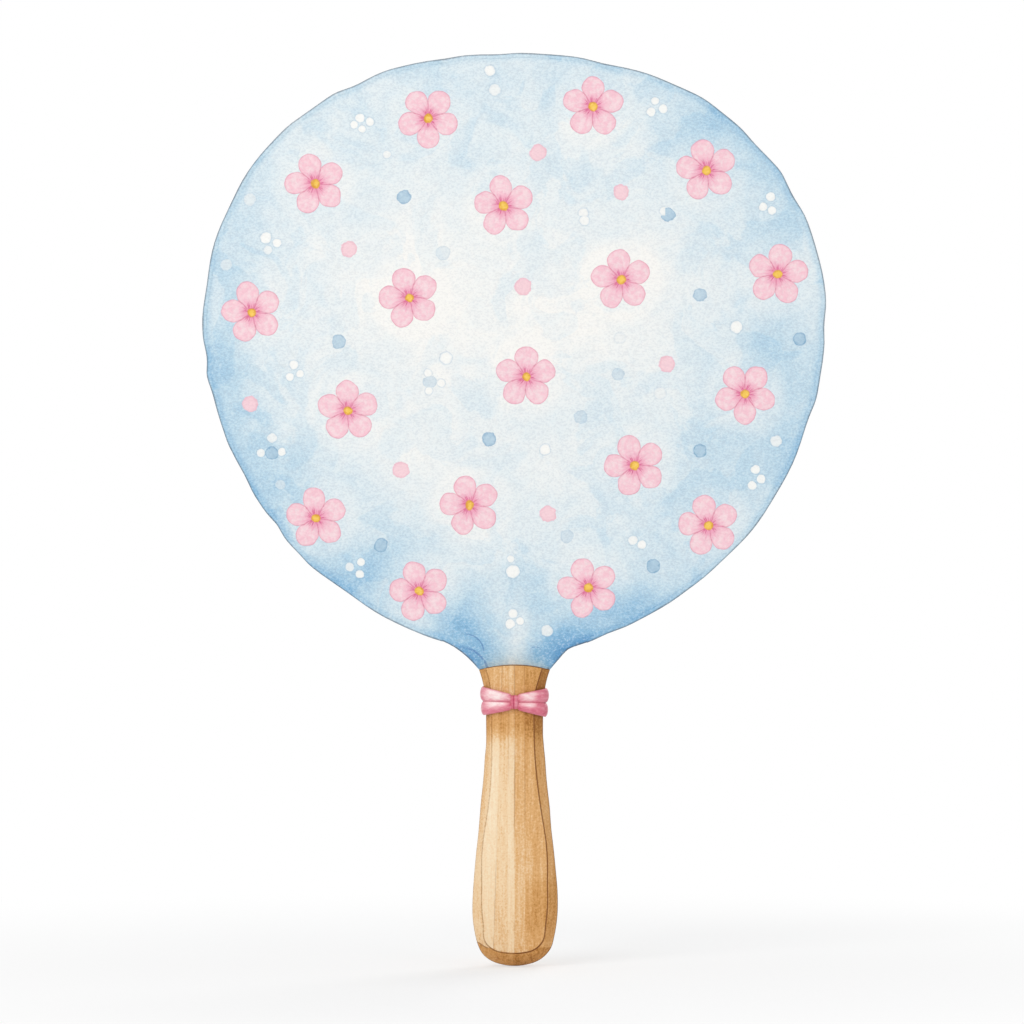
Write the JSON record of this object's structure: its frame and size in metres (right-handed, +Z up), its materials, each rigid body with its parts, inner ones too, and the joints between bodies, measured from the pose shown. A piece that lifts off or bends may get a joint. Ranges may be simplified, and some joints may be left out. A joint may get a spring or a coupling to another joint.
{
  "type": "hand fan",
  "caption": "Round flat hand fan: two pasted sheets of printed paper over radiating bamboo ribs, set in a slotted and chamfered wooden handle that is bound with a ribbon.",
  "frame": {"origin": "middle of the grip on the handle's centre line, 50 mm above the butt", "axes": "+Z up the handle to the blade, +Y out of the plain back (the printed front faces -Y), +X to the right as the front is seen"},
  "size_m": [0.2495, 0.017, 0.365],
  "materials": {
    "handle_wood": "satin, oiled",
    "front_paper": "matt, printed",
    "back_paper": "matt",
    "rim_paper": "matt",
    "bamboo": "shaved, dry",
    "ribbon": "satin weave"
  },
  "bodies": {
    "root": {"handle": "handle_wood", "front_paper": "front_paper", "back_paper": "back_paper", "edge_binding": "rim_paper", "ribbon": "ribbon", "ribbon_knot": "ribbon", "rib_01": "bamboo", "rib_02": "bamboo", "rib_03": "bamboo", "rib_04": "bamboo", "rib_05": "bamboo", "rib_06": "bamboo", "rib_07": "bamboo", "rib_08": "bamboo", "rib_09": "bamboo", "rib_10": "bamboo", "rib_11": "bamboo", "rib_12": "bamboo", "rib_13": "bamboo", "rib_14": "bamboo", "rib_15": "bamboo", "rib_16": "bamboo", "rib_17": "bamboo", "rib_18": "bamboo", "rib_19": "bamboo", "rib_20": "bamboo", "rib_21": "bamboo", "rib_22": "bamboo", "rib_23": "bamboo", "rib_24": "bamboo", "rib_25": "bamboo", "rib_26": "bamboo", "rib_27": "bamboo", "rib_28": "bamboo", "rib_29": "bamboo", "rib_30": "bamboo", "rib_31": "bamboo", "rib_32": "bamboo", "rib_33": "bamboo", "rib_34": "bamboo", "rib_35": "bamboo", "rib_36": "bamboo", "rib_37": "bamboo", "rib_38": "bamboo", "rib_39": "bamboo", "rib_40": "bamboo", "rib_41": "bamboo"}
  },
  "joints": []
}
